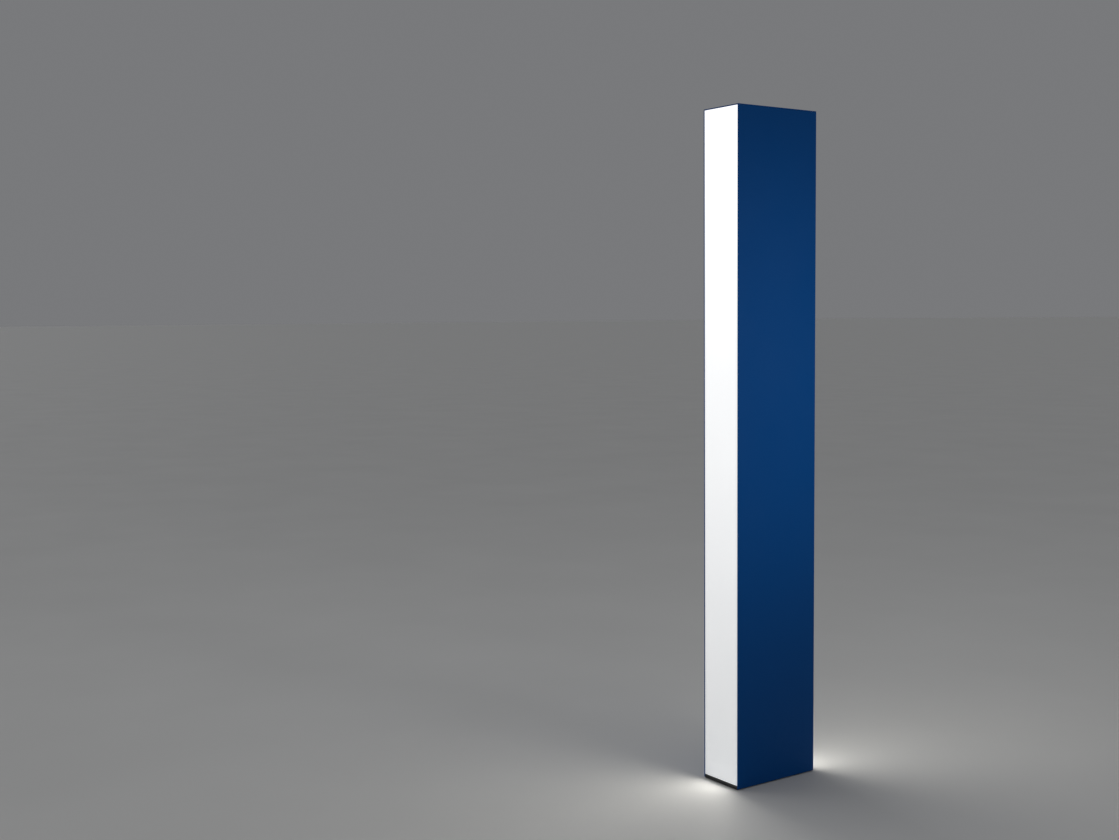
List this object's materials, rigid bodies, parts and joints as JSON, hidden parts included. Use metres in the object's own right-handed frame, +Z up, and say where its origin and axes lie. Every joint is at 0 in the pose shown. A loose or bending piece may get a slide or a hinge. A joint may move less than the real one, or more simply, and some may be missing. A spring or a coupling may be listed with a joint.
{
  "type": "free-standing led light column",
  "caption": "Slim rectangular floor-standing column with opal lit faces front and rear, plain blue metal sides, a black base plate and a flush service door low on one side.",
  "frame": {"origin": "middle of the footprint on the floor, at the underside of the levelling feet", "axes": "+Z up, -Y out of the front lit face, +X out of the plain right side panel"},
  "size_m": [0.15, 0.31, 2],
  "materials": {
    "blue_powder_coat": "fine-textured satin powder coat",
    "black_powder_coat": "matte powder coat",
    "extruded_aluminium": "natural anodised",
    "zinc_plated_steel": "bright zinc plate",
    "white_powder_coat": "high-reflectance matte",
    "opal_acrylic": "opal, lit from inside",
    "led_board_white": "white solder mask",
    "pale_grey_plastic": "satin moulded",
    "grey_plastic": "satin moulded",
    "black_plastic": "satin moulded",
    "black_rubber": "matte"
  },
  "bodies": {
    "column": {"base_plate": "black_powder_coat", "corner_post_front_right": "extruded_aluminium", "corner_post_front_left": "extruded_aluminium", "corner_post_rear_right": "extruded_aluminium", "corner_post_rear_left": "extruded_aluminium", "cross_brace_lower": "zinc_plated_steel", "cross_brace_middle": "zinc_plated_steel", "cross_brace_upper": "zinc_plated_steel", "top_frame": "zinc_plated_steel", "right_side_panel": "blue_powder_coat", "left_side_panel": "blue_powder_coat", "top_cap": "blue_powder_coat", "cap_screw_front_right": "zinc_plated_steel", "cap_screw_front_left": "zinc_plated_steel", "cap_screw_rear_right": "zinc_plated_steel", "cap_screw_rear_left": "zinc_plated_steel", "front_light_tray": "white_powder_coat", "front_led_board_1": "led_board_white", "front_led_board_2": "led_board_white", "front_led_board_3": "led_board_white", "front_led_board_4": "led_board_white", "front_lead_grommet": "black_rubber", "rear_light_tray": "white_powder_coat", "rear_led_board_1": "led_board_white", "rear_led_board_2": "led_board_white", "rear_led_board_3": "led_board_white", "rear_led_board_4": "led_board_white", "rear_lead_grommet": "black_rubber", "door_gasket": "black_rubber", "door_stop_frame": "zinc_plated_steel", "door_pivot_bracket_upper": "zinc_plated_steel", "door_pivot_pin_upper": "zinc_plated_steel", "door_pivot_bracket_lower": "zinc_plated_steel", "door_pivot_pin_lower": "zinc_plated_steel", "mounting_plate": "zinc_plated_steel", "din_rail": "zinc_plated_steel", "circuit_breaker": "pale_grey_plastic", "surge_arrester": "grey_plastic", "terminal_strip": "grey_plastic", "gland_bracket": "zinc_plated_steel", "cable_gland": "black_plastic", "gland_lock_nut": "black_plastic", "front_led_driver": "extruded_aluminium", "front_mains_lead": "black_plastic", "front_output_lead": "black_plastic", "rear_led_driver": "extruded_aluminium", "rear_mains_lead": "black_plastic", "rear_output_lead": "black_plastic"},
    "foot_front_right": {"levelling_foot_front_right": "zinc_plated_steel"},
    "foot_front_left": {"levelling_foot_front_left": "zinc_plated_steel"},
    "foot_rear_right": {"levelling_foot_rear_right": "zinc_plated_steel"},
    "foot_rear_left": {"levelling_foot_rear_left": "zinc_plated_steel"},
    "front_cover": {"front_opal_cover": "opal_acrylic"},
    "rear_cover": {"rear_opal_cover": "opal_acrylic"},
    "door": {"service_door": "blue_powder_coat", "lock_nut_upper": "zinc_plated_steel", "lock_nut_lower": "zinc_plated_steel"},
    "upper_lock": {"lock_cam_upper": "zinc_plated_steel"},
    "lower_lock": {"lock_cam_lower": "zinc_plated_steel"},
    "toggle": {"breaker_toggle": "black_plastic"}
  },
  "joints": [
    {"name": "foot_screw_front_right", "type": "slide", "parent": "column", "child": "foot_front_right", "axis": [0, 0, -1], "range_m": [0, 0.012]},
    {"name": "foot_screw_front_left", "type": "slide", "parent": "column", "child": "foot_front_left", "axis": [0, 0, -1], "range_m": [0, 0.012]},
    {"name": "foot_screw_rear_right", "type": "slide", "parent": "column", "child": "foot_rear_right", "axis": [0, 0, -1], "range_m": [0, 0.012]},
    {"name": "foot_screw_rear_left", "type": "slide", "parent": "column", "child": "foot_rear_left", "axis": [0, 0, -1], "range_m": [0, 0.012]},
    {"name": "front_cover_pull", "type": "slide", "parent": "column", "child": "front_cover", "axis": [0, -1, 0], "range_m": [0, 0.12]},
    {"name": "rear_cover_pull", "type": "slide", "parent": "column", "child": "rear_cover", "axis": [0, 1, 0], "range_m": [0, 0.12]},
    {"name": "door_hinge", "type": "hinge", "parent": "column", "child": "door", "pos_m": [-0.068, 0.0715, 0.4], "axis": [0, 0, -1], "range_deg": [0, 110]},
    {"name": "upper_lock_turn", "type": "hinge", "parent": "door", "child": "upper_lock", "pos_m": [-0.07, -0.062, 0.5], "axis": [1, 0, 0], "range_deg": [0, 90]},
    {"name": "lower_lock_turn", "type": "hinge", "parent": "door", "child": "lower_lock", "pos_m": [-0.07, -0.062, 0.3], "axis": [1, 0, 0], "range_deg": [0, 90]},
    {"name": "breaker_toggle_throw", "type": "hinge", "parent": "column", "child": "toggle", "pos_m": [-0.0066, -0.006, 0.2], "axis": [0, 1, 0], "range_deg": [-70, 0]}
  ]
}
